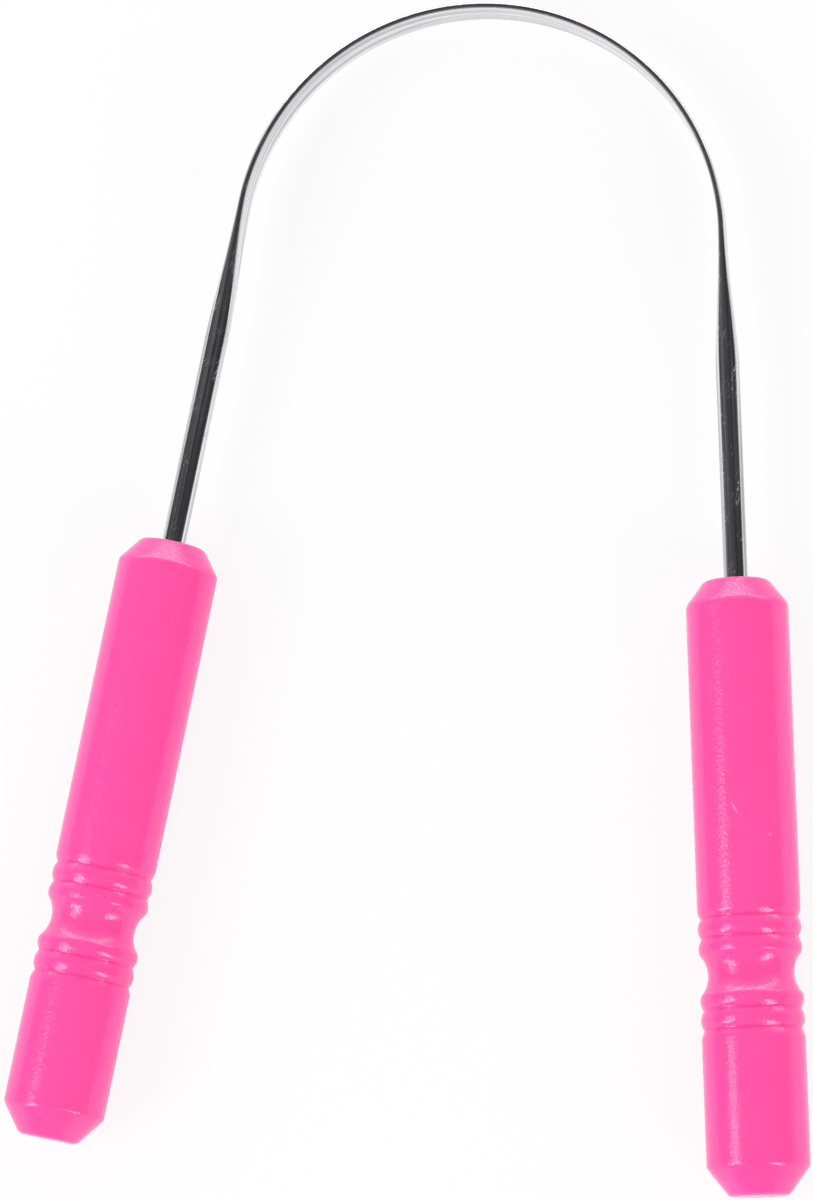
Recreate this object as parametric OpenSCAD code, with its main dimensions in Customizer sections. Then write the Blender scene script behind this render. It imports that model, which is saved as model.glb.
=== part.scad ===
// Tongue scraper: one steel rod, flattened in the middle and bent to a springy
// bow, with a moulded handle on each end. It lies flat on its two handles, the
// crown of the bow towards +Y, with the origin under the middle of the whole.

/* [Bow] */
// Radius of the bow's arc, from its centre to the middle of the band
bow_radius = 29; // [24:0.5:36]
// Half of the angle that the arc spans, counted from the crown
bow_half_angle = 83.4; // [76:0.2:88]
// Thickness of the flattened band
band_thickness = 0.75; // [0.6:0.05:1.2]
// Width of the flattened band, from one scraping edge to the other
band_width = 5.8; // [4:0.1:8]

/* [Rod] */
// Diameter of the round rod that the bow is made from
rod_diameter = 2.8; // [2.4:0.1:3.4]
// Length of each straight leg, from the end of the arc to the handle
leg_length = 42; // [30:0.5:60]
// Length of the shoulder in which the band turns back into the round rod
shoulder_length = 14.5; // [9:0.5:22]
// Length of rod that is hidden in each handle
tail_length = 34; // [20:1:50]
// Number of turned grooves that key the tail into the handle
key_groove_count = 3; // [1:1:5]
// Width of one key groove
key_groove_width = 1.6; // [0.8:0.1:2.4]
// Depth of one key groove
key_groove_depth = 0.3; // [0.15:0.05:0.5]
// Distance from one key groove to the next
key_groove_pitch = 5; // [3.5:0.25:6.5]

/* [Handles] */
// Length of each handle
handle_length = 72; // [62:0.5:90]
// Diameter of each handle's barrel
handle_diameter = 12; // [10:0.25:15]
// Diameter of the flat face at the free end
end_face_diameter = 6.9; // [5.5:0.1:8]
// Length of the cone at the free end
cone_length = 3.4; // [2:0.1:5]
// Diameter of the flat face that the rod runs into
rod_face_diameter = 7.6; // [5.5:0.1:8.5]
// Length of the cone at the rod's end
rod_cone_length = 2.9; // [2:0.1:5]
// Radius of the soft edge between barrel and cone
barrel_edge_radius = 1.2; // [0.4:0.1:2]
// Radius of the soft edge between cone and end face
face_edge_radius = 0.9; // [0.3:0.05:1.2]

/* [Grip rings] */
// Distance from the handle's free end to the middle of the waist
waist_from_end = 25.7; // [19:0.1:32]
// Depth of the waist below the barrel
waist_depth = 1; // [0.5:0.05:1.3]
// Radius of the waist's hollow, seen from the side
waist_hollow_radius = 3.6; // [2.8:0.1:5]
// Number of rings on each side of the waist
rings_per_side = 2; // [1:1:3]
// Distance from one ring to the next
ring_pitch = 2.35; // [1.9:0.05:2.8]
// Depth of the grooves between the rings
ring_groove_depth = 0.42; // [0.25:0.01:0.55]
// Distance from the middle of the waist to the first ring's inner flank
ring_row_start = 1.8; // [1.5:0.05:2.2]

/* [Fits] */
// Radial play between the two faces of each bending point
hinge_clearance = 0.03; // [0.02:0.01:0.06]
// Step from the band's faces down to the round nose of a bending point
nose_step = 0.01; // [0.005:0.005:0.02]
// Angle that the horns beside a nose leave free on each side
flex_room = 17; // [12:0.5:20]
// Play between the tail and the plastic moulded round it
moulding_clearance = 0.01; // [0.005:0.005:0.03]

/* [Hidden] */

steel_colour = "silver";
handle_colour = [1, 0.33, 0.66];

$fn = 96;
// Sides of the circles that a hull joins
hull_sides = 32;
// How far a cutting shape runs past what it cuts
cut_overrun = 1;
// Length of a shoulder's cross-section slice, and how far it starts inside the arc
slice_length = 0.05;
slice_lap = 0.1;
// How far the shoulder's end sections stay under the faces that they run into
slice_inset = 0.02;
// Where the shoulder's middle section stands, and how it is sized between band and rod
shoulder_middle_share = 0.42;
middle_thickness_share = 0.30;
middle_width_share = 0.42;

band_half = band_thickness / 2;
rod_radius = rod_diameter / 2;
barrel_radius = handle_diameter / 2;

// The legs leave the arc as tangents, so they spread by what the arc lacks of 90 degrees
splay = 90 - bow_half_angle;
// Each half of the band bends about the middle of its arc
hinge_angle = bow_half_angle / 2;
nose_radius = band_half - nose_step;
recess_radius = nose_radius + hinge_clearance;
horn_angle = asin(recess_radius * sin(flex_room) / bow_radius);

// Distance from the arc's end, along the leg, to the handle's free end
reach = leg_length + handle_length;
// The two ends of a handle: radius of the flat face, and length of the cone
free_end = [end_face_diameter / 2, cone_length];
rod_end = [rod_face_diameter / 2, rod_cone_length];

// Lowest point of a handle's free end, below the arc's centre, and the frame's middle
arc_end_x = bow_radius * sin(bow_half_angle);
arc_end_y = bow_radius * cos(bow_half_angle);
lowest_y = arc_end_y - (reach - face_edge_centre(free_end).y) * cos(splay)
    - face_edge_centre(free_end).x * sin(splay) - face_edge_radius;
highest_y = bow_radius + band_half;
arc_centre_y = -(lowest_y + highest_y) / 2;
// The barrels touch the ground, and the whole bow lies at the height of their axes
axis_height = barrel_radius;

// A ring is an arc of this radius, as high as the grooves are deep
ring_radius = (pow(ring_groove_depth, 2) + pow(ring_pitch / 2, 2)) / (2 * ring_groove_depth);
waist_middle = handle_length - waist_from_end;

// The first key groove lies one pitch inside the tail's end
function key_groove_middle(index) = tail_length - (index + 1) * key_groove_pitch;

// Angle of an end's cone to the handle's axis, and the lengths that its soft edges take up
function cone_angle(end) = atan2(barrel_radius - end.x, end.y);
function barrel_edge_run(end) = barrel_edge_radius * tan(cone_angle(end) / 2);
function face_edge_run(end) = face_edge_radius * tan((90 - cone_angle(end)) / 2);

// Centres of an end's soft edges: radius from the axis, and distance from the end face
function barrel_edge_centre(end) = [barrel_radius - barrel_edge_radius, end.y + barrel_edge_run(end)];
function face_edge_centre(end) = [end.x - face_edge_run(end), face_edge_radius];

// Corners of an end's half outline, from the face's middle to the barrel
function end_corners(end) =
    let (cone_side = [sin(cone_angle(end)), cos(cone_angle(end))]) [
        [0, 0],
        [face_edge_centre(end).x, 0],
        [end.x, 0] + face_edge_run(end) * cone_side,
        [barrel_radius, end.y] - barrel_edge_run(end) * cone_side,
        [barrel_radius, end.y + barrel_edge_run(end)]
    ];

// Cross-section of a flattened rod: flat faces and round edges
module band_section(thickness, width) {
    square([thickness, width - thickness], center = true);
    for (edge = [-1, 1])
        translate([0, edge * (width - thickness) / 2]) circle(d = thickness);
}

// Stretch of the band's arc, with angles counted from the crown towards +X
module band_arc(from_angle, to_angle) {
    rotate_extrude(start = 90 - to_angle, angle = to_angle - from_angle)
        translate([bow_radius, 0]) band_section(band_thickness, band_width);
}

// Places its children on the hinge axis of the right-hand bending point
module at_hinge() {
    rotate([0, 0, -hinge_angle]) translate([0, bow_radius, 0]) children();
}

// Places its children on the right leg's axis, which becomes their +Z, at a distance from the arc's end
module on_leg(distance) {
    translate([arc_end_x, arc_end_y, 0]) rotate([0, 0, splay]) rotate([90, 0, 0])
        translate([0, 0, distance]) children();
}

// Places its children at the arc's centre, at the height of the handles' axes
module in_frame() {
    translate([0, arc_centre_y, axis_height]) children();
}

// Round end of a band about the hinge axis, as high as the band's flat faces
module hinge_nose() {
    at_hinge() cylinder(r = nose_radius, h = band_width - band_thickness, center = true);
}

// Thin slice across the shoulder
module shoulder_slice(distance, thickness, width) {
    on_leg(distance) linear_extrude(slice_length) band_section(thickness, width, $fn = hull_sides);
}

// Round slice at the shoulder's end
module shoulder_end_slice() {
    on_leg(shoulder_length)
        cylinder(r = rod_radius - slice_inset, h = slice_length, $fn = hull_sides);
}

// Slice in the middle of the shoulder
module shoulder_middle_slice() {
    shoulder_slice(
        shoulder_length * shoulder_middle_share,
        band_thickness + (rod_diameter - band_thickness) * middle_thickness_share,
        band_width + (rod_diameter - band_width) * middle_width_share);
}

// The band's edge turns smoothly into the round rod
module shoulder() {
    hull() {
        shoulder_slice(-slice_lap, band_thickness - 2 * slice_inset, band_width - 2 * slice_inset);
        shoulder_middle_slice();
    }
    hull() {
        shoulder_middle_slice();
        shoulder_end_slice();
    }
}

// Outline of the rod from the shoulder to the tail's end, grown by a clearance
module rod_outline(grown, from, to) {
    difference() {
        translate([0, from]) square([rod_radius + grown, to - from]);
        for (index = [0 : key_groove_count - 1])
            translate([rod_radius - key_groove_depth + grown,
                       leg_length + key_groove_middle(index) - key_groove_width / 2 + grown])
                square([key_groove_depth + cut_overrun, key_groove_width - 2 * grown]);
    }
}

// Half of the band from its bending point, the shoulder, the leg and the tail in the handle
module bow_arm() {
    difference() {
        band_arc(hinge_angle + horn_angle, bow_half_angle);
        at_hinge() cylinder(r = recess_radius, h = band_width + 2 * cut_overrun, center = true);
    }
    shoulder();
    on_leg(0) rotate_extrude() rod_outline(0, shoulder_length, leg_length + tail_length);
}

// Soft edges of one end of a handle
module end_edges(end) {
    translate(barrel_edge_centre(end)) circle(r = barrel_edge_radius);
    translate(face_edge_centre(end)) circle(r = face_edge_radius);
}

// Half outline of a handle without its rings: barrel, cones and flat end faces
module handle_blank_outline() {
    free_corners = end_corners(free_end);
    last = len(free_corners) - 1;
    polygon(concat(end_corners(rod_end), [for (i = [last : -1 : 0])
        [free_corners[i].x, handle_length - free_corners[i].y]]));
    end_edges(rod_end);
    translate([0, handle_length]) mirror([0, 1]) end_edges(free_end);
}

// Groove between two rings, with half a ring's round flank on each side
module ring_groove() {
    ring_centre = barrel_radius - ring_radius;
    difference() {
        translate([ring_centre, -ring_pitch / 2]) square([ring_radius + cut_overrun, ring_pitch]);
        for (side = [-1, 1])
            translate([ring_centre, side * ring_pitch / 2]) circle(r = ring_radius);
    }
}

// Half outline of a handle with its waist and rings
module handle_outline() {
    difference() {
        handle_blank_outline();
        translate([barrel_radius - waist_depth + waist_hollow_radius, waist_middle])
            circle(r = waist_hollow_radius);
        for (side = [-1, 1], index = [0 : rings_per_side])
            translate([0, waist_middle + side * (ring_row_start + index * ring_pitch)]) ring_groove();
    }
}

// Handle on the right leg, moulded round the rod's tail
module handle() {
    cavity_end = leg_length + tail_length + moulding_clearance;
    on_leg(leg_length) rotate_extrude() difference() {
        handle_outline();
        translate([0, -leg_length])
            rod_outline(moulding_clearance, leg_length - cut_overrun, cavity_end);
    }
}

module crown_band() {
    color(steel_colour) in_frame() {
        band_arc(-hinge_angle, hinge_angle);
        hinge_nose();
        mirror([1, 0, 0]) hinge_nose();
    }
}

module left_bow_arm() {
    color(steel_colour) in_frame() mirror([1, 0, 0]) bow_arm();
}

module right_bow_arm() {
    color(steel_colour) in_frame() bow_arm();
}

module left_handle() {
    color(handle_colour) in_frame() mirror([1, 0, 0]) handle();
}

module right_handle() {
    color(handle_colour) in_frame() handle();
}

crown_band();
left_bow_arm();
right_bow_arm();
left_handle();
right_handle();
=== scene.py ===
import math

import bpy
from bpy.props import FloatProperty, FloatVectorProperty, IntProperty, PointerProperty
from mathutils import Matrix, Vector


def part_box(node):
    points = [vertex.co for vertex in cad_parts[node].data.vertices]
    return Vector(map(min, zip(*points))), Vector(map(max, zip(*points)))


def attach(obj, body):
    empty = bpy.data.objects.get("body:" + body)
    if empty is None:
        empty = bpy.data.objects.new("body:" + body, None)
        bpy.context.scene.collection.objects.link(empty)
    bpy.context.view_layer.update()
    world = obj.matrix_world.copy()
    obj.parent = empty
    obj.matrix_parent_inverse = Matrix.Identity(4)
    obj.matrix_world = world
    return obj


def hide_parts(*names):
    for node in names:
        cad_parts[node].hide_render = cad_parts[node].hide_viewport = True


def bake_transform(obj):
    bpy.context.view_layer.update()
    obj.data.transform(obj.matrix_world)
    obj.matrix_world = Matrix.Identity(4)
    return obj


bl_info = {
    "name": "Tongue Scraper",
    "version": (1, 0, 0),
    "blender": (4, 5, 0),
    "location": "3D View > Sidebar > Scraper",
    "description": "Builds a tongue scraper with a flattened steel bow and two ringed handles",
    "category": "Add Mesh",
}

MM = 0.001

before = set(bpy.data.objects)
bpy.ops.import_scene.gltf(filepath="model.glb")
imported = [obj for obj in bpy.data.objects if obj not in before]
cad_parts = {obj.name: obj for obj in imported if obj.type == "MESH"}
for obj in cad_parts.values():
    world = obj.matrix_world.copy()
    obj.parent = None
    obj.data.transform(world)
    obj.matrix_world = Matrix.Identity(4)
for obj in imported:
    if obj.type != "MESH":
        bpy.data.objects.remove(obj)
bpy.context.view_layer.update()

# The solid nodes give the heights and the place of the bow
crown_low, crown_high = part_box("crown_band")
handle_low, handle_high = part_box("right_handle")
AXIS_HEIGHT = (handle_low.z + handle_high.z) / 2

# The two sides, each with its sign along X
SIDES = {"left": -1, "right": 1}

# Soft boxes: name, place, width, height, radiance, and whether the steel is lit too
LAMPS = (
    ("left_soft_box", (-0.95, -0.25, 0.93), 0.58, 0.42, 4.3, False),
    ("left_front_soft_box", (-0.90, -0.66, 0.72), 0.28, 0.75, 7.5, False),
    ("right_front_soft_box", (0.93, -0.74, 0.64), 0.32, 0.75, 7.5, False),
    ("back_soft_box", (0.0, 1.25, 0.24), 3.0, 0.35, 3.6, True),
)


class BowSizes(bpy.types.PropertyGroup):
    """Sizes of the steel bow."""

    arc_radius: FloatProperty(
        name="Arc Radius", description="From the arc's centre to the middle of the band",
        default=29 * MM, unit="LENGTH", precision=5)
    half_angle: FloatProperty(
        name="Half Angle", description="Angle of the arc from the crown to its end",
        default=math.radians(83.4), subtype="ANGLE")
    band_thickness: FloatProperty(
        name="Band Thickness", description="Thickness of the flattened band",
        default=0.75 * MM, unit="LENGTH", precision=5)
    band_width: FloatProperty(
        name="Band Width", description="From one scraping edge to the other",
        default=crown_high.z - crown_low.z, unit="LENGTH", precision=5)
    rod_diameter: FloatProperty(
        name="Rod Diameter", description="Diameter of the round rod",
        default=2.8 * MM, unit="LENGTH", precision=5)
    leg_length: FloatProperty(
        name="Leg Length", description="From the end of the arc to the handle",
        default=42 * MM, unit="LENGTH", precision=5)
    tail_length: FloatProperty(
        name="Tail Length", description="Rod that is hidden in a handle",
        default=34 * MM, unit="LENGTH", precision=5)
    shoulder_lead: FloatProperty(
        name="Shoulder Lead", description="How far inside the arc the band starts to thicken",
        default=2.2 * MM, unit="LENGTH", precision=5)
    shoulder_length: FloatProperty(
        name="Shoulder Length", description="Length over which the band turns into the rod",
        default=19 * MM, unit="LENGTH", precision=5)
    shoulder_delay: FloatProperty(
        name="Shoulder Delay", description="How much later the thickness grows than the width shrinks",
        default=1.25)
    rows: IntProperty(name="Rows", description="Rows of faces along half of the bow", default=320)
    columns: IntProperty(name="Columns", description="Columns of faces round the bow", default=64)


class HandleSizes(bpy.types.PropertyGroup):
    """Sizes of one moulded handle."""

    length: FloatProperty(
        name="Length", description="From the free end to the rod's end",
        default=72 * MM, unit="LENGTH", precision=5)
    diameter: FloatProperty(
        name="Diameter", description="Diameter of the barrel",
        default=handle_high.z - handle_low.z, unit="LENGTH", precision=5)
    end_face_diameter: FloatProperty(
        name="End Face Diameter", description="Diameter of the flat face at the free end",
        default=6.9 * MM, unit="LENGTH", precision=5)
    cone_length: FloatProperty(
        name="Cone Length", description="Length of the cone at the free end",
        default=3.4 * MM, unit="LENGTH", precision=5)
    rod_face_diameter: FloatProperty(
        name="Rod Face Diameter", description="Diameter of the flat face that the rod runs into",
        default=7.6 * MM, unit="LENGTH", precision=5)
    rod_cone_length: FloatProperty(
        name="Rod Cone Length", description="Length of the cone at the rod's end",
        default=2.9 * MM, unit="LENGTH", precision=5)
    barrel_edge_radius: FloatProperty(
        name="Barrel Edge Radius", description="Soft edge between barrel and cone",
        default=1.2 * MM, unit="LENGTH", precision=5)
    face_edge_radius: FloatProperty(
        name="Face Edge Radius", description="Soft edge between cone and end face",
        default=0.9 * MM, unit="LENGTH", precision=5)
    bore_clearance: FloatProperty(
        name="Bore Clearance", description="Play between the rod and the plastic round it",
        default=0.01 * MM, unit="LENGTH", precision=5)
    bore_edge_radius: FloatProperty(
        name="Bore Edge Radius", description="Soft edge at the mouth of the bore",
        default=0.12 * MM, unit="LENGTH", precision=5)
    waist_from_end: FloatProperty(
        name="Waist From End", description="From the free end to the middle of the waist",
        default=25.7 * MM, unit="LENGTH", precision=5)
    waist_depth: FloatProperty(
        name="Waist Depth", description="Depth of the waist below the barrel",
        default=1 * MM, unit="LENGTH", precision=5)
    waist_hollow_radius: FloatProperty(
        name="Waist Hollow Radius", description="Radius of the waist's hollow, seen from the side",
        default=3.6 * MM, unit="LENGTH", precision=5)
    rings_per_side: IntProperty(
        name="Rings Per Side", description="Rings on each side of the waist", default=2)
    ring_pitch: FloatProperty(
        name="Ring Pitch", description="From one ring to the next",
        default=2.35 * MM, unit="LENGTH", precision=5)
    ring_groove_depth: FloatProperty(
        name="Ring Groove Depth", description="Depth of the grooves between the rings",
        default=0.42 * MM, unit="LENGTH", precision=5)
    ring_row_start: FloatProperty(
        name="Ring Row Start", description="From the waist's middle to the first ring's inner flank",
        default=1.8 * MM, unit="LENGTH", precision=5)
    groove_softness: FloatProperty(
        name="Groove Softness", description="How far the grooves' bottoms are rounded",
        default=0.12 * MM, unit="LENGTH", precision=5)
    parting_height: FloatProperty(
        name="Parting Height", description="Height of the fine ridge that the mould's joint leaves",
        default=0.025 * MM, unit="LENGTH", precision=6)
    parting_width: FloatProperty(
        name="Parting Width", description="Half width of that ridge",
        default=0.12 * MM, unit="LENGTH", precision=6)
    columns: IntProperty(name="Columns", description="Columns of faces round a handle", default=112)


class FinishColours(bpy.types.PropertyGroup):
    """Colours of the two materials."""

    steel: FloatVectorProperty(
        name="Steel", description="Colour of the drawn steel",
        subtype="COLOR", size=3, min=0, max=1, default=(0.62, 0.62, 0.64))
    plastic: FloatVectorProperty(
        name="Plastic", description="Colour of the moulded handles",
        subtype="COLOR", size=3, min=0, max=1, default=(1.0, 0.08, 0.367))


class StageSettings(bpy.types.PropertyGroup):
    """Floor and camera."""

    lens: FloatProperty(
        name="Lens", description="Focal length, with 36 mm over the picture's long side", default=165)
    distance: FloatProperty(
        name="Camera Distance", description="From the camera to the point it looks at",
        default=0.65073, unit="LENGTH")
    azimuth: FloatProperty(
        name="Azimuth", description="Camera's turn round the object, 0 looks along +Y",
        default=math.radians(41.997), subtype="ANGLE")
    elevation: FloatProperty(
        name="Elevation", description="Camera's height above the horizon",
        default=math.radians(78.302), subtype="ANGLE")
    roll: FloatProperty(
        name="Roll", description="Camera's turn about its own line of sight",
        default=math.radians(-37.608), subtype="ANGLE")
    target: FloatVectorProperty(
        name="Target", description="Point that the camera looks at",
        subtype="XYZ", size=3, unit="LENGTH", default=(-5.10 * MM, -2.76 * MM, AXIS_HEIGHT))
    floor_colour: FloatVectorProperty(
        name="Floor Colour", description="Colour of the pale floor",
        subtype="COLOR", size=3, min=0, max=1, default=(0.84, 0.84, 0.84))
    floor_size: FloatProperty(
        name="Floor Size", description="Side of the square floor", default=8.0, unit="LENGTH")


class Field:
    """A number that runs through a node tree, so that a formula is written as arithmetic."""

    def __init__(self, tree, socket):
        self.tree = tree
        self.socket = socket

    def math(self, operation, *others):
        """A math node that takes this number first."""
        node = self.tree.nodes.new("ShaderNodeMath")
        node.operation = operation
        for slot, value in zip(node.inputs, (self, *others)):
            feed(self.tree, slot, value)
        return Field(self.tree, node.outputs[0])

    def reversed_math(self, operation, first):
        """A math node that takes a plain number first and this one second."""
        node = self.tree.nodes.new("ShaderNodeMath")
        node.operation = operation
        node.inputs[0].default_value = first
        feed(self.tree, node.inputs[1], self)
        return Field(self.tree, node.outputs[0])

    def __add__(self, other):
        return self.math("ADD", other)

    def __sub__(self, other):
        return self.math("SUBTRACT", other)

    def __mul__(self, other):
        return self.math("MULTIPLY", other)

    def __truediv__(self, other):
        return self.math("DIVIDE", other)

    def __radd__(self, other):
        return self.reversed_math("ADD", other)

    def __rsub__(self, other):
        return self.reversed_math("SUBTRACT", other)

    def limited(self):
        """This number, kept between 0 and 1."""
        return self.math("MAXIMUM", 0.0).math("MINIMUM", 1.0)

    def smooth(self, low, high):
        """0 below low, 1 above high, and a soft step between them."""
        node = self.tree.nodes.new("ShaderNodeMapRange")
        node.interpolation_type = "SMOOTHSTEP"
        feed(self.tree, node.inputs["Value"], self)
        feed(self.tree, node.inputs["From Min"], low)
        feed(self.tree, node.inputs["From Max"], high)
        return Field(self.tree, node.outputs["Result"])


def feed(tree, slot, value):
    """Links a field or a socket to a node's input, or sets the input's own value."""
    if isinstance(value, Field):
        tree.links.new(value.socket, slot)
    elif isinstance(value, bpy.types.NodeSocket):
        tree.links.new(value, slot)
    else:
        slot.default_value = value


def add_node(tree, kind, settings=None, **inputs):
    """A new node with its settings, and its inputs fed by name: an underscore stands for a space."""
    node = tree.nodes.new(kind)
    for name, value in (settings or {}).items():
        setattr(node, name, value)
    for name, value in inputs.items():
        feed(tree, node.inputs[name.replace("_", " ")], value)
    return node


def split(tree, vector):
    """The X, Y and Z of a vector socket, as fields."""
    node = add_node(tree, "ShaderNodeSeparateXYZ", Vector=vector)
    return [Field(tree, socket) for socket in node.outputs]


def joined(tree, x, y, z):
    """A vector socket from three fields or numbers."""
    return add_node(tree, "ShaderNodeCombineXYZ", X=x, Y=y, Z=z).outputs[0]


def new_geometry_tree(name, numbers, whole_numbers):
    """A Geometry Nodes tree with named inputs, and a dict of those inputs as fields."""
    tree = bpy.data.node_groups.new(name, "GeometryNodeTree")
    tree.interface.new_socket("Geometry", in_out="INPUT", socket_type="NodeSocketGeometry")
    for title in numbers:
        tree.interface.new_socket(title, in_out="INPUT", socket_type="NodeSocketFloat")
    for title in whole_numbers:
        tree.interface.new_socket(title, in_out="INPUT", socket_type="NodeSocketInt")
    tree.interface.new_socket("Material", in_out="INPUT", socket_type="NodeSocketMaterial")
    tree.interface.new_socket("Geometry", in_out="OUTPUT", socket_type="NodeSocketGeometry")
    entry = tree.nodes.new("NodeGroupInput")
    values = {title: Field(tree, entry.outputs[title]) for title in (*numbers, *whole_numbers)}
    return tree, entry, values


def unit_grid(tree, rows, columns):
    """A grid with sides of 1, and the shares of the way along it and round it."""
    grid = add_node(
        tree, "GeometryNodeMeshGrid", Size_X=1.0, Size_Y=1.0, Vertices_X=rows, Vertices_Y=columns)
    x, y, _ = split(tree, tree.nodes.new("GeometryNodeInputPosition").outputs[0])
    return grid.outputs["Mesh"], x + 0.5, y + 0.5


def finish_surface(tree, entry, mesh, position, uv, sharp_angle, flip=False):
    """Shapes a grid, closes its seam and poles, and gives it smooth faces, a UV map and its material."""
    merge_distance = 0.0005 * MM
    stored = add_node(
        tree, "GeometryNodeStoreNamedAttribute", {"data_type": "FLOAT2", "domain": "CORNER"},
        Geometry=mesh, Name="UVMap", Value=uv)
    shaped = add_node(tree, "GeometryNodeSetPosition", Geometry=stored.outputs[0], Position=position)
    merged = add_node(
        tree, "GeometryNodeMergeByDistance", Geometry=shaped.outputs[0], Distance=merge_distance)
    surface = merged.outputs[0]
    if flip:
        surface = add_node(tree, "GeometryNodeFlipFaces", Mesh=surface).outputs[0]
    rounded = add_node(tree, "GeometryNodeSetShadeSmooth", Geometry=surface, Shade_Smooth=True)
    edge_angle = Field(tree, tree.nodes.new("GeometryNodeInputMeshEdgeAngle").outputs["Unsigned Angle"])
    is_sharp = edge_angle.math("GREATER_THAN", sharp_angle)
    creased = add_node(
        tree, "GeometryNodeSetShadeSmooth", {"domain": "EDGE"},
        Geometry=rounded.outputs[0], Selection=is_sharp, Shade_Smooth=False)
    real = add_node(tree, "GeometryNodeRealizeInstances", Geometry=creased.outputs[0])
    painted = add_node(
        tree, "GeometryNodeSetMaterial", Geometry=real.outputs[0], Material=entry.outputs["Material"])
    exit_node = tree.nodes.new("NodeGroupOutput")
    tree.links.new(painted.outputs[0], exit_node.inputs["Geometry"])


def build_piece(name, tree, values, start_mesh=None):
    """A plain mesh object that a Geometry Nodes tree makes from these input values."""
    piece = bpy.data.objects.new(name, start_mesh or bpy.data.meshes.new(name))
    bpy.context.scene.collection.objects.link(piece)
    modifier = piece.modifiers.new(tree.name, "NODES")
    modifier.node_group = tree
    inputs = {item.name: item.identifier for item in tree.interface.items_tree if item.in_out == "INPUT"}
    for title, value in values.items():
        modifier[inputs[title]] = value
    depsgraph = bpy.context.evaluated_depsgraph_get()
    shape = piece.evaluated_get(depsgraph)
    mesh = bpy.data.meshes.new_from_object(shape, preserve_all_data_layers=True, depsgraph=depsgraph)
    if not mesh.polygons:
        raise RuntimeError(f"{tree.name} made no faces")
    piece.modifiers.remove(modifier)
    piece.data = mesh
    mesh.name = name
    return piece


def bow_half_tree():
    """Half of the bow as one closed skin, swept from the crown to the hidden tail's end."""
    sharp_angle = math.radians(50)
    least_share = 0.0001
    tree, entry, size = new_geometry_tree(
        "Bow Half",
        ("Arc Radius", "Half Angle", "Band Thickness", "Band Width", "Rod Diameter", "Leg Length",
         "Tail Length", "Shoulder Lead", "Shoulder Length", "Shoulder Delay", "Side"),
        ("Rows", "Columns"))
    rows, columns, side = size["Rows"], size["Columns"], size["Side"]
    mesh, along, around = unit_grid(tree, rows, columns + 1)

    # The first and the last row shrink to a point and close the ends
    row = along * (rows - 1)
    arc_length = size["Arc Radius"] * size["Half Angle"]
    whole_length = arc_length + size["Leg Length"] + size["Tail Length"]
    travel = whole_length * ((row - 1) / (rows - 3)).limited()
    is_wall = row.math("GREATER_THAN", 0.5) * (rows - 1.5).math("GREATER_THAN", row)

    # Thickness and width of the section at this place
    share = ((travel - arc_length + size["Shoulder Lead"]) / size["Shoulder Length"]).limited()
    thickening = share.math("POWER", size["Shoulder Delay"]).smooth(0.0, 1.0)
    narrowing = share.smooth(0.0, 1.0)
    thickness = size["Band Thickness"] + (size["Rod Diameter"] - size["Band Thickness"]) * thickening
    width = size["Band Width"] + (size["Rod Diameter"] - size["Band Width"]) * narrowing

    # Place on the section: flat faces of the band's width, then round edges. Where the rod is round
    # it has no flat, and the least share keeps the division sound
    turn = around * side * math.tau
    across, upward = turn.math("COSINE"), turn.math("SINE")
    quarter = upward.math("ABSOLUTE").math("ARCSINE")
    flat_share = (1 - thickness / width) * (math.pi / 4)
    on_flat = (quarter / flat_share.math("MAXIMUM", least_share)).limited()
    on_edge = ((quarter - flat_share) / (math.pi / 2 - flat_share)).limited() * (math.pi / 2)
    outward = across.math("SIGN") * thickness / 2 * on_edge.math("COSINE") * is_wall
    rise = on_edge.math("SINE") * thickness / 2 + on_flat * (width - thickness) / 2
    height = upward.math("SIGN") * rise * is_wall

    # Along the arc the section turns, and along the leg it moves straight on
    arc_angle = travel.math("MINIMUM", arc_length) / size["Arc Radius"]
    straight = (travel - arc_length).math("MAXIMUM", 0.0)
    radius = size["Arc Radius"] + outward
    sine, cosine = arc_angle.math("SINE"), arc_angle.math("COSINE")
    position = joined(
        tree, side * (radius * sine + straight * cosine), radius * cosine - straight * sine, height)

    # The map runs on from one half into the other, so that the steel's lines don't break at the crown
    shared_turn = 0.5 + (around - 0.5) * side
    uv = joined(tree, travel * side, shared_turn * size["Rod Diameter"] * math.pi, 0.0)
    finish_surface(tree, entry, mesh, position, uv, sharp_angle)
    return tree


def build_bow_half(side_name, sizes, material):
    """Half of the steel bow, from the middle of the crown to its own side's hidden tail."""
    # The half starts at the middle of the crown, where the two halves meet
    side = SIDES[side_name]
    centre = arc_centre(sizes)
    piece = build_piece(f"{side_name}_bow_half", bow_half_tree(), {
        "Arc Radius": sizes.arc_radius,
        "Half Angle": sizes.half_angle,
        "Band Thickness": sizes.band_thickness,
        "Band Width": sizes.band_width,
        "Rod Diameter": sizes.rod_diameter,
        "Leg Length": sizes.leg_length,
        "Tail Length": sizes.tail_length,
        "Shoulder Lead": sizes.shoulder_lead,
        "Shoulder Length": sizes.shoulder_length,
        "Shoulder Delay": sizes.shoulder_delay,
        "Side": float(side),
        "Rows": sizes.rows,
        "Columns": sizes.columns,
        "Material": material,
    })
    piece.data.transform(Matrix.Translation(centre))
    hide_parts("crown_band", f"{side_name}_bow_arm")
    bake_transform(piece)
    return piece


def arc_centre(sizes):
    """Centre of the bow's arc in the frame, below the crown's outer face."""
    return Vector((0, crown_high.y - sizes.band_thickness / 2 - sizes.arc_radius, AXIS_HEIGHT))


def on_arc(sizes, side, angle):
    """A point of the band's middle line, from the arc's centre, at an angle from the crown."""
    return Vector((side * math.sin(angle), math.cos(angle), 0)) * sizes.arc_radius


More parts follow.
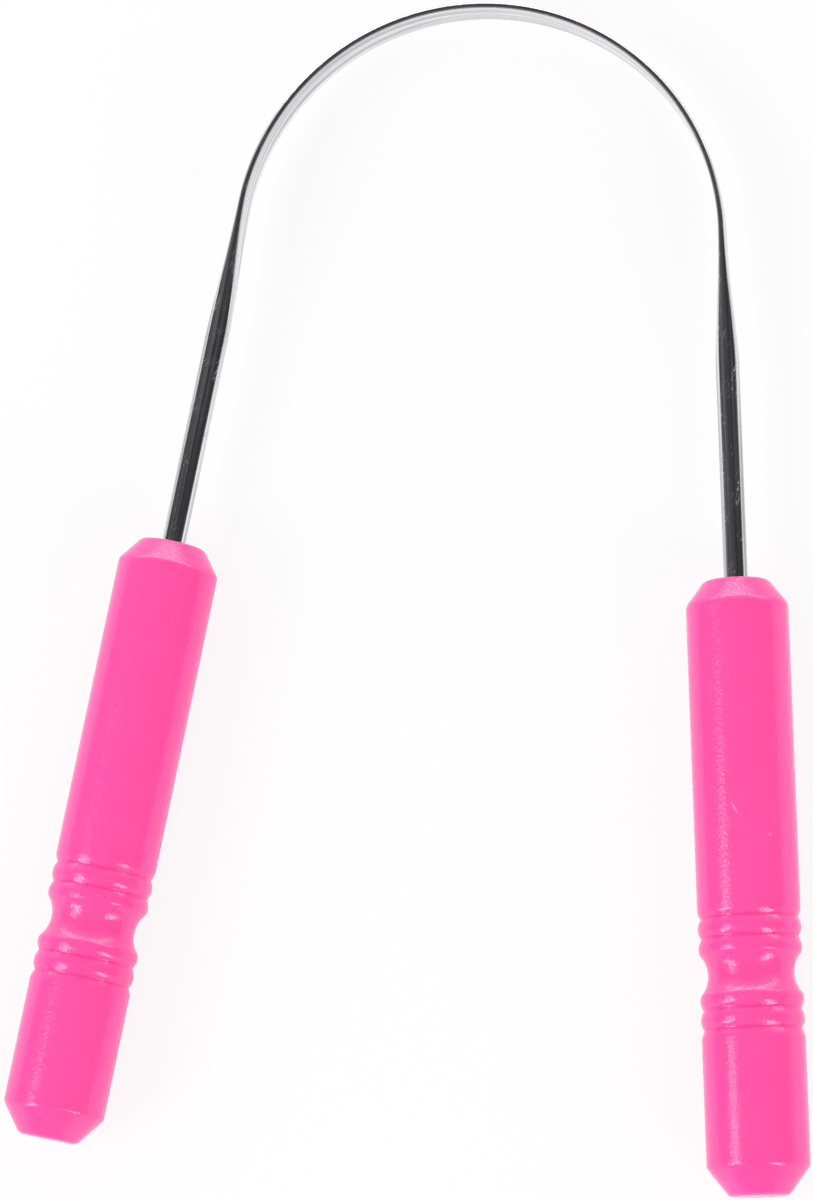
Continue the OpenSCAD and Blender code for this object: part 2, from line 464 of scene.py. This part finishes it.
def handle_tree():
    """A moulded handle: an outline with soft edges and cut rings, turned round its axis."""
    # Points on a soft edge, crowding of the columns, half width of the painted shade line by a groove in
    # softnesses
    edge_points, crowding, shade_line_reach = 7, 0.42, 4.4
    sharp_angle = math.radians(40)
    tree, entry, size = new_geometry_tree(
        "Turned Handle",
        ("Diameter", "Waist From End", "Waist Depth", "Waist Hollow Radius", "Ring Pitch",
         "Ring Groove Depth", "Ring Row Start", "Groove Softness", "Parting Height", "Parting Width"),
        ("Rings Per Side", "Columns"))
    columns = size["Columns"]
    barrel = size["Diameter"] / 2

    # Outline: X is the distance from the axis, Y the distance from the free end
    outline = add_node(tree, "GeometryNodeMeshToCurve", Mesh=entry.outputs["Geometry"])
    soft_edge = add_node(tree, "GeometryNodeInputNamedAttribute", {"data_type": "FLOAT"}, Name="soft_edge")
    softened = add_node(
        tree, "GeometryNodeFilletCurve", {"mode": "POLY"},
        Curve=outline.outputs[0], Count=edge_points, Radius=soft_edge.outputs["Attribute"],
        Limit_Radius=True)
    cuts = add_node(tree, "GeometryNodeInputNamedAttribute", {"data_type": "INT"}, Name="cuts")
    divided = add_node(
        tree, "GeometryNodeSubdivideCurve", Curve=softened.outputs[0], Cuts=cuts.outputs["Attribute"])

    # The waist is a round hollow, and each ring an arc that is as high as its grooves are deep
    from_axis, from_end, _ = split(tree, tree.nodes.new("GeometryNodeInputPosition").outputs[0])
    from_waist = (from_end - size["Waist From End"]).math("ABSOLUTE")
    hollow = size["Waist Hollow Radius"]
    hollow_reach = (hollow * hollow - from_waist * from_waist).math("MAXIMUM", 0.0).math("SQRT")
    hollow_wall = barrel - size["Waist Depth"] + hollow - hollow_reach
    pitch, depth = size["Ring Pitch"], size["Ring Groove Depth"]
    ring_radius = (depth * depth + pitch * pitch / 4) / (depth * 2)
    along_row = from_waist - size["Ring Row Start"]
    groove = (along_row / pitch).math("ROUND")
    from_groove = along_row - groove * pitch
    softness = size["Groove Softness"]
    soft_distance = (from_groove * from_groove + softness * softness).math("SQRT")
    from_crest = pitch / 2 - soft_distance
    ring_wall = barrel - ring_radius + (ring_radius * ring_radius - from_crest * from_crest).math("SQRT")
    past_row = groove.math("LESS_THAN", -0.5) + groove.math("GREATER_THAN", size["Rings Per Side"] + 0.5)
    wall = hollow_wall.math("SMOOTH_MIN", ring_wall + past_row * barrel, softness)
    cut = add_node(
        tree, "GeometryNodeSetPosition", Geometry=divided.outputs[0],
        Position=joined(tree, from_axis.math("MINIMUM", wall), from_end, 0.0))

    # Turning: every row of a grid takes its radius and place from one point of the outline
    count = add_node(
        tree, "GeometryNodeAttributeDomainSize", {"component": "CURVE"}, Geometry=cut.outputs[0])
    point_count = Field(tree, count.outputs["Point Count"])
    mesh, along, around = unit_grid(tree, point_count, columns + 1)
    outline_point = add_node(
        tree, "GeometryNodeSampleIndex", {"data_type": "FLOAT_VECTOR", "domain": "POINT"},
        Geometry=cut.outputs[0], Value=tree.nodes.new("GeometryNodeInputPosition").outputs[0],
        Index=(along * (point_count - 1)).math("ROUND"))
    radius, place, _ = split(tree, outline_point.outputs[0])

    # The columns crowd together at the mould's joint, where they raise its fine ridge
    even_turn = around * math.tau
    turn = even_turn - (even_turn * 2).math("SINE") * crowding
    from_joint = (turn.math("SINE") * radius).math("ABSOLUTE")
    ridge = 1 - from_joint.smooth(size["Parting Width"] / 4, size["Parting Width"])
    on_outside = radius.math("GREATER_THAN", barrel / 2)
    ridged = radius + ridge * on_outside * size["Parting Height"]
    position = joined(tree, ridged * turn.math("COSINE"), place, ridged * turn.math("SINE"))
    uv = joined(tree, place, around * barrel * math.tau, 0.0)

    # A line beside each groove's bottom, where a ring shades its neighbour, is marked for the material,
    # which paints that shade into the colour
    past_waist = place - size["Waist From End"]
    ring_place = past_waist.math("ABSOLUTE") - size["Ring Row Start"]
    number = (ring_place / pitch).math("ROUND")
    is_groove = number.math("GREATER_THAN", 0.5) * number.math("LESS_THAN", size["Rings Per Side"] + 0.5)
    from_line = (ring_place - number * pitch + past_waist.math("SIGN") * softness).math("ABSOLUTE")
    shade = (1 - from_line / (softness * shade_line_reach)).limited() * is_groove
    marked = add_node(
        tree, "GeometryNodeStoreNamedAttribute", {"data_type": "FLOAT", "domain": "POINT"},
        Geometry=mesh, Name="groove_shade_line", Value=shade)
    finish_surface(tree, entry, marked.outputs[0], position, uv, sharp_angle, flip=True)
    return tree


def handle_outline(sizes, bow):
    """Corners of a handle's half section, each with its soft edge's radius and the cuts after it."""
    cut_spacing = 0.1 * MM
    barrel = sizes.diameter / 2
    face = sizes.end_face_diameter / 2
    rod_face = sizes.rod_face_diameter / 2
    bore = bow.rod_diameter / 2 + sizes.bore_clearance
    bore_end = sizes.length - bow.tail_length - sizes.bore_clearance
    row_reach = sizes.ring_row_start + (sizes.rings_per_side + 0.5) * sizes.ring_pitch
    row_first = sizes.waist_from_end - row_reach
    row_last = sizes.waist_from_end + row_reach
    ring_cuts = round((row_last - row_first) / cut_spacing)
    corners = [
        (0, 0, 0, 0),
        (face, 0, sizes.face_edge_radius, 0),
        (barrel, sizes.cone_length, sizes.barrel_edge_radius, 0),
        (barrel, row_first, 0, ring_cuts),
        (barrel, row_last, 0, 0),
        (barrel, sizes.length - sizes.rod_cone_length, sizes.barrel_edge_radius, 0),
        (rod_face, sizes.length, sizes.face_edge_radius, 0),
        (bore, sizes.length, sizes.bore_edge_radius, 0),
        (bore, bore_end, 0, 0),
        (0, bore_end, 0, 0),
    ]
    mesh = bpy.data.meshes.new("handle_outline")
    edges = [(i, i + 1) for i in range(len(corners) - 1)]
    mesh.from_pydata([(x, y, 0) for x, y, _, _ in corners], edges, [])
    soft_edge = mesh.attributes.new("soft_edge", "FLOAT", "POINT")
    soft_edge.data.foreach_set("value", [radius for _, _, radius, _ in corners])
    cuts = mesh.attributes.new("cuts", "INT", "POINT")
    cuts.data.foreach_set("value", [number for _, _, _, number in corners])
    return mesh


def build_handle(side_name, sizes, bow, material):
    """One moulded handle, turned about its axis and laid along its leg of the bow."""
    side = SIDES[side_name]
    piece = build_piece(f"{side_name}_grip", handle_tree(), {
        "Diameter": sizes.diameter,
        "Waist From End": sizes.waist_from_end,
        "Waist Depth": sizes.waist_depth,
        "Waist Hollow Radius": sizes.waist_hollow_radius,
        "Ring Pitch": sizes.ring_pitch,
        "Ring Groove Depth": sizes.ring_groove_depth,
        "Ring Row Start": sizes.ring_row_start,
        "Groove Softness": sizes.groove_softness,
        "Parting Height": sizes.parting_height,
        "Parting Width": sizes.parting_width,
        "Rings Per Side": sizes.rings_per_side,
        "Columns": sizes.columns,
        "Material": material,
    }, handle_outline(sizes, bow))
    splay = math.pi / 2 - bow.half_angle
    leg_direction = Vector((side * math.sin(splay), -math.cos(splay), 0))
    free_end = arc_centre(bow) + on_arc(bow, side, bow.half_angle)
    free_end += leg_direction * (bow.leg_length + sizes.length)
    piece.data.transform(Matrix.Translation(free_end) @ Matrix.Rotation(side * splay, 4, "Z"))
    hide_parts(f"{side_name}_handle")
    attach(piece, f"{side_name}_side")
    return piece


def new_material(name, colour, **values):
    """A node material with its Principled shader, whose plain values are set on the shader itself."""
    material = bpy.data.materials.new(name)
    material.use_nodes = True
    material.diffuse_color = (*colour, 1)
    tree = material.node_tree
    shader = tree.nodes["Principled BSDF"]
    for title, value in values.items():
        shader.inputs[title.replace("_", " ")].default_value = value
    return material, tree, shader


def noise(tree, vector, scale=1.0, detail=1.0):
    """Noise from 0 to 1 as a field."""
    node = add_node(tree, "ShaderNodeTexNoise", Vector=vector, Scale=scale, Detail=detail)
    return Field(tree, node.outputs[0])


def stretched_noise(tree, along, across, length, width, layer, detail=1.0):
    """Noise with grains of this length and width, from a layer of its own."""
    return noise(tree, joined(tree, along / length, across / width, layer), detail=detail)


def mixed_colour(tree, factor, first, second):
    """A colour between two others, each of them a socket or three numbers."""
    node = add_node(tree, "ShaderNodeMix", {"data_type": "RGBA"}, Factor=factor)
    # The node's colour sockets share their names with others, so they go by number
    for slot, colour in zip((6, 7), (first, second)):
        is_socket = isinstance(colour, bpy.types.NodeSocket)
        feed(tree, node.inputs[slot], colour if is_socket else (*colour, 1))
    return node.outputs[2]


def drawn_steel(colour):
    """Drawn stainless steel: fine lines along the rod, and short scratches across them."""
    # Length, width and layer of the grains of each noise
    fine_lines = (16 * MM, 0.09 * MM, 0.0)
    broad_lines = (48 * MM, 0.42 * MM, 4.0)
    scratch_lines = (2.2 * MM, 0.45 * MM, 9.0)
    scratched_patches = (3 * MM, 1.2 * MM, 2.0)
    fine_share = 0.35
    line_depth = 0.008 * MM
    slant_along, slant_across = 0.9, 0.45
    least_roughness, line_roughness, scratch_roughness = 0.1, 0.1, 0.35
    scratch_paleness = 0.5
    dark = [channel * 0.6 for channel in colour]
    bright = [min(1, channel * 1.5) for channel in colour]

    # Soft steps of the noises: how thin a scratch is, where scratches are, and how lines tint
    thin_step, patch_step, tint_step = (0.008, 0.03), (0.52, 0.62), (0.38, 0.64)

    material, tree, shader = new_material(
        "drawn_steel", colour, Metallic=1.0, Anisotropic=0.6, Anisotropic_Rotation=0.25)
    tangent = add_node(tree, "ShaderNodeTangent", {"direction_type": "UV_MAP", "uv_map": "UVMap"})
    tree.links.new(tangent.outputs[0], shader.inputs["Tangent"])
    uv = add_node(tree, "ShaderNodeUVMap", {"uv_map": "UVMap"}).outputs[0]
    along, around, _ = split(tree, uv)
    fine = stretched_noise(tree, along, around, *fine_lines, detail=2.0)
    broad = stretched_noise(tree, along, around, *broad_lines)
    lines = fine * fine_share + broad * (1 - fine_share)

    # Scratches are thin level lines of a stretched noise, where a second noise lets them show
    slanted = along * slant_along + around * slant_across
    crossing = around * slant_along - along * slant_across
    marks = stretched_noise(tree, slanted, crossing, *scratch_lines)
    thin = 1 - (marks - 0.5).math("ABSOLUTE").smooth(*thin_step)
    patches = stretched_noise(tree, along, around, *scratched_patches)
    scratches = thin * patches.smooth(*patch_step)

    bump = add_node(tree, "ShaderNodeBump", Strength=1.0, Distance=line_depth, Height=lines)
    tree.links.new(bump.outputs[0], shader.inputs["Normal"])
    roughness = least_roughness + lines * line_roughness + scratches * scratch_roughness
    feed(tree, shader.inputs["Roughness"], roughness)
    brightness = (lines.smooth(*tint_step) + scratches * scratch_paleness).limited()
    tree.links.new(mixed_colour(tree, brightness, dark, bright), shader.inputs["Base Color"])
    return material


def worn_mark(tree, place, middle, reach, turn):
    """1 on an oval mark on the upper side, 0 elsewhere, from its middle, half sizes and turn about Z."""
    x, y, z = split(tree, place)
    from_x, from_y = x - middle[0], y - middle[1]
    along = from_x * (math.cos(turn) / reach[0]) + from_y * (math.sin(turn) / reach[0])
    across = from_y * (math.cos(turn) / reach[1]) - from_x * (math.sin(turn) / reach[1])
    away = (along * along + across * across).math("SQRT")
    return (1 - away.smooth(0.5, 1.0)) * z.math("GREATER_THAN", AXIS_HEIGHT)


def moulded_plastic(colour):
    """Satin moulded plastic with the coarse grain of its mould, and painted shade along its grooves."""
    grain_size, grain_height, blotch_size = 0.4 * MM, 0.035 * MM, 7 * MM
    roughness, polish = 0.27, 0.2
    polish_step, blotch_step = (0.46, 0.56), (0.3, 0.7)
    blotch_share, polish_share = 0.5, 0.5
    scratch_paleness, chip_paleness = 0.9, 0.5
    red, green, blue = colour
    dull = (red * 0.93, green * 0.93, blue * 0.93)
    groove_shade_colour = (red * 0.92, green * 0.56, blue * 0.85)
    pale = (red, green * 2.6, blue * 1.5)

    material, tree, shader = new_material(
        "moulded_plastic", colour, IOR=1.5, Subsurface_Weight=0.12, Subsurface_Scale=1.0 * MM,
        Subsurface_Radius=(1.0, 0.25, 0.55))
    place = tree.nodes.new("ShaderNodeTexCoord").outputs["Object"]
    grain = noise(tree, place, scale=1 / grain_size)
    blotches = noise(tree, place, scale=1 / blotch_size, detail=3.0)
    bump = add_node(tree, "ShaderNodeBump", Strength=1.0, Distance=grain_height, Height=grain)
    tree.links.new(bump.outputs[0], shader.inputs["Normal"])
    polished = grain.smooth(*polish_step)
    feed(tree, shader.inputs["Roughness"], roughness - polished * polish)
    # The marked line beside each groove darkens the colour: painted shade where a ring shades its
    # neighbour
    groove = add_node(tree, "ShaderNodeAttribute", {"attribute_name": "groove_shade_line"})
    painted_groove_shade = Field(tree, groove.outputs["Fac"]).smooth(0.0, 1.0)
    paleness = blotches.smooth(*blotch_step) * blotch_share + polished * polish_share
    body = mixed_colour(tree, paleness, dull, colour)
    shaded_body = mixed_colour(tree, painted_groove_shade, body, groove_shade_colour)

    # The right handle has a short scratch and a small chip, where the plastic is paler
    scratch = worn_mark(
        tree, place, middle=(35.91 * MM, -25.3 * MM), reach=(1.05 * MM, 0.17 * MM),
        turn=math.radians(-56))
    chip = worn_mark(
        tree, place, middle=(40.24 * MM, -28.05 * MM), reach=(0.36 * MM, 0.28 * MM), turn=0.0)
    wear = scratch * scratch_paleness + chip * chip_paleness
    worn = mixed_colour(tree, wear, shaded_body, pale)
    tree.links.new(worn, shader.inputs["Base Color"])
    return material


def seen_rays(tree):
    """1 for rays that show a surface to the camera, straight or in metal or glass, and 0 for its light."""
    path = tree.nodes.new("ShaderNodeLightPath")
    camera = Field(tree, path.outputs["Is Camera Ray"])
    glossy = Field(tree, path.outputs["Is Glossy Ray"])
    return camera.math("MAXIMUM", glossy).math("MAXIMUM", path.outputs["Is Transmission Ray"])


def build_floor(settings):
    """Plain pale floor that keeps the object's shadow and shows nearly white."""
    whiteness = 0.85
    half = settings.floor_size / 2
    corners = [(-half, -half, 0), (half, -half, 0), (half, half, 0), (-half, half, 0)]
    mesh = bpy.data.meshes.new("floor")
    mesh.from_pydata(corners, [], [(0, 1, 2, 3)])
    floor = bpy.data.objects.new("floor", mesh)
    bpy.context.scene.collection.objects.link(floor)
    material, tree, shader = new_material(
        "pale_floor", settings.floor_colour, Base_Color=(*settings.floor_colour, 1), Roughness=0.9)
    glow = add_node(tree, "ShaderNodeEmission", Color=(1, 1, 1, 1), Strength=1.0)
    blend = tree.nodes.new("ShaderNodeMixShader")
    feed(tree, blend.inputs[0], seen_rays(tree) * whiteness)
    tree.links.new(shader.outputs[0], blend.inputs[1])
    tree.links.new(glow.outputs[0], blend.inputs[2])
    tree.links.new(blend.outputs[0], tree.nodes["Material Output"].inputs["Surface"])
    mesh.materials.append(material)


def build_room():
    """The room: a dark ceiling, a bright wall behind the crown, and an even light on everything."""
    left_ceiling, right_ceiling = (0.125, 0.124, 0.130), (0.055, 0.055, 0.060)
    bright_wall, even_light = (1, 1, 1), (0.7, 0.7, 0.7)

    # Where the wall starts and is full: to the back, and down from the ceiling. The ceiling's two
    # colours run into each other from left to right
    wall_step, top_step, side_step = (0.3, 0.6), (0.55, 0.75), (-0.8, 0.8)
    world = bpy.data.worlds.new("room")
    world.use_nodes = True
    bpy.context.scene.world = world
    tree = world.node_tree
    direction = tree.nodes.new("ShaderNodeTexCoord").outputs["Generated"]
    rightward, backward, height = split(tree, direction)
    wall = backward.smooth(*wall_step) * (1 - height.smooth(*top_step))
    ceiling = mixed_colour(tree, rightward.smooth(*side_step), left_ceiling, right_ceiling)
    seen_room = mixed_colour(tree, wall, ceiling, bright_wall)
    light = mixed_colour(tree, seen_rays(tree), even_light, seen_room)
    tree.links.new(light, tree.nodes["Background"].inputs["Color"])


def build_lamp(name, place, width, height, radiance, unlit):
    """A soft box that faces the object, unseen itself. It doesn't light the unlit group, if any."""
    data = bpy.data.lights.new(name, "AREA")
    data.shape = "RECTANGLE"
    data.size, data.size_y = width, height
    data.energy = radiance * math.pi * width * height
    lamp = bpy.data.objects.new(name, data)
    lamp.location = place
    lamp.rotation_euler = (-Vector(place)).to_track_quat("-Z", "Y").to_euler()
    lamp.visible_camera = False
    bpy.context.scene.collection.objects.link(lamp)
    if unlit:
        lamp.light_linking.receiver_collection = unlit
        for member in unlit.collection_objects:
            member.light_linking.link_state = "EXCLUDE"


def build_camera(settings):
    """The camera at the photograph's place, turned about its line of sight."""
    azimuth, elevation = settings.azimuth, settings.elevation
    flat_share = math.cos(elevation)
    back = Vector((
        math.sin(azimuth) * flat_share, -math.cos(azimuth) * flat_share, math.sin(elevation)))
    level = Vector((0, 0, 1)).cross(back).normalized()
    upright = back.cross(level)
    right = level * math.cos(settings.roll) + upright * math.sin(settings.roll)
    up = back.cross(right)
    data = bpy.data.cameras.new("camera")
    data.lens = settings.lens
    data.clip_start, data.clip_end = 0.01, 20.0
    camera = bpy.data.objects.new("camera", data)
    camera.rotation_mode = "QUATERNION"
    camera.rotation_quaternion = Matrix((right, up, back)).transposed().to_quaternion()
    camera.location = Vector(settings.target) + back * settings.distance
    bpy.context.scene.collection.objects.link(camera)
    bpy.context.scene.camera = camera


class SCRAPER_OT_bow(bpy.types.Operator):
    """Build the two halves of the steel bow"""

    bl_idname = "scraper.bow"
    bl_label = "Steel Bow"

    def execute(self, context):
        scene = context.scene
        steel = drawn_steel(tuple(scene.scraper_finishes.steel))
        for side_name in SIDES:
            build_bow_half(side_name, scene.scraper_bow, steel)
        return {"FINISHED"}


class SCRAPER_OT_handles(bpy.types.Operator):
    """Build the two moulded handles"""

    bl_idname = "scraper.handles"
    bl_label = "Moulded Handles"

    def execute(self, context):
        scene = context.scene
        plastic = moulded_plastic(tuple(scene.scraper_finishes.plastic))
        for side_name in SIDES:
            build_handle(side_name, scene.scraper_handles, scene.scraper_bow, plastic)
        return {"FINISHED"}


class SCRAPER_OT_stage(bpy.types.Operator):
    """Build the floor, the room, the lamps and the camera"""

    bl_idname = "scraper.stage"
    bl_label = "Stage"

    def execute(self, context):
        scene = context.scene
        settings = scene.scraper_stage
        scene.view_settings.view_transform = "Standard"
        build_floor(settings)
        build_room()
        bow_pieces = bpy.data.collections.new("bow_pieces")
        for side_name in SIDES:
            bow_pieces.objects.link(bpy.data.objects[f"{side_name}_bow_half"])
        for name, place, width, height, radiance, lights_steel in LAMPS:
            unlit = None if lights_steel else bow_pieces
            build_lamp(name, place, width, height, radiance, unlit)
        build_camera(settings)
        return {"FINISHED"}


class SCRAPER_PT_panel(bpy.types.Panel):
    """The sidebar panel with one button for each group of pieces"""

    bl_label = "Tongue Scraper"
    bl_idname = "SCRAPER_PT_panel"
    bl_space_type = "VIEW_3D"
    bl_region_type = "UI"
    bl_category = "Scraper"

    def draw(self, context):
        for operator in (SCRAPER_OT_bow, SCRAPER_OT_handles, SCRAPER_OT_stage):
            self.layout.operator(operator.bl_idname)


CLASSES = (
    BowSizes,
    HandleSizes,
    FinishColours,
    StageSettings,
    SCRAPER_OT_bow,
    SCRAPER_OT_handles,
    SCRAPER_OT_stage,
    SCRAPER_PT_panel,
)


def register():
    for cls in CLASSES:
        bpy.utils.register_class(cls)
    bpy.types.Scene.scraper_bow = PointerProperty(type=BowSizes)
    bpy.types.Scene.scraper_handles = PointerProperty(type=HandleSizes)
    bpy.types.Scene.scraper_finishes = PointerProperty(type=FinishColours)
    bpy.types.Scene.scraper_stage = PointerProperty(type=StageSettings)


def unregister():
    for name in ("scraper_bow", "scraper_handles", "scraper_finishes", "scraper_stage"):
        delattr(bpy.types.Scene, name)
    for cls in reversed(CLASSES):
        bpy.utils.unregister_class(cls)


def main():
    """Builds everything."""
    register()
    bpy.ops.scraper.bow()
    bpy.ops.scraper.handles()
    bpy.ops.scraper.stage()


if __name__ == "__main__":
    main()
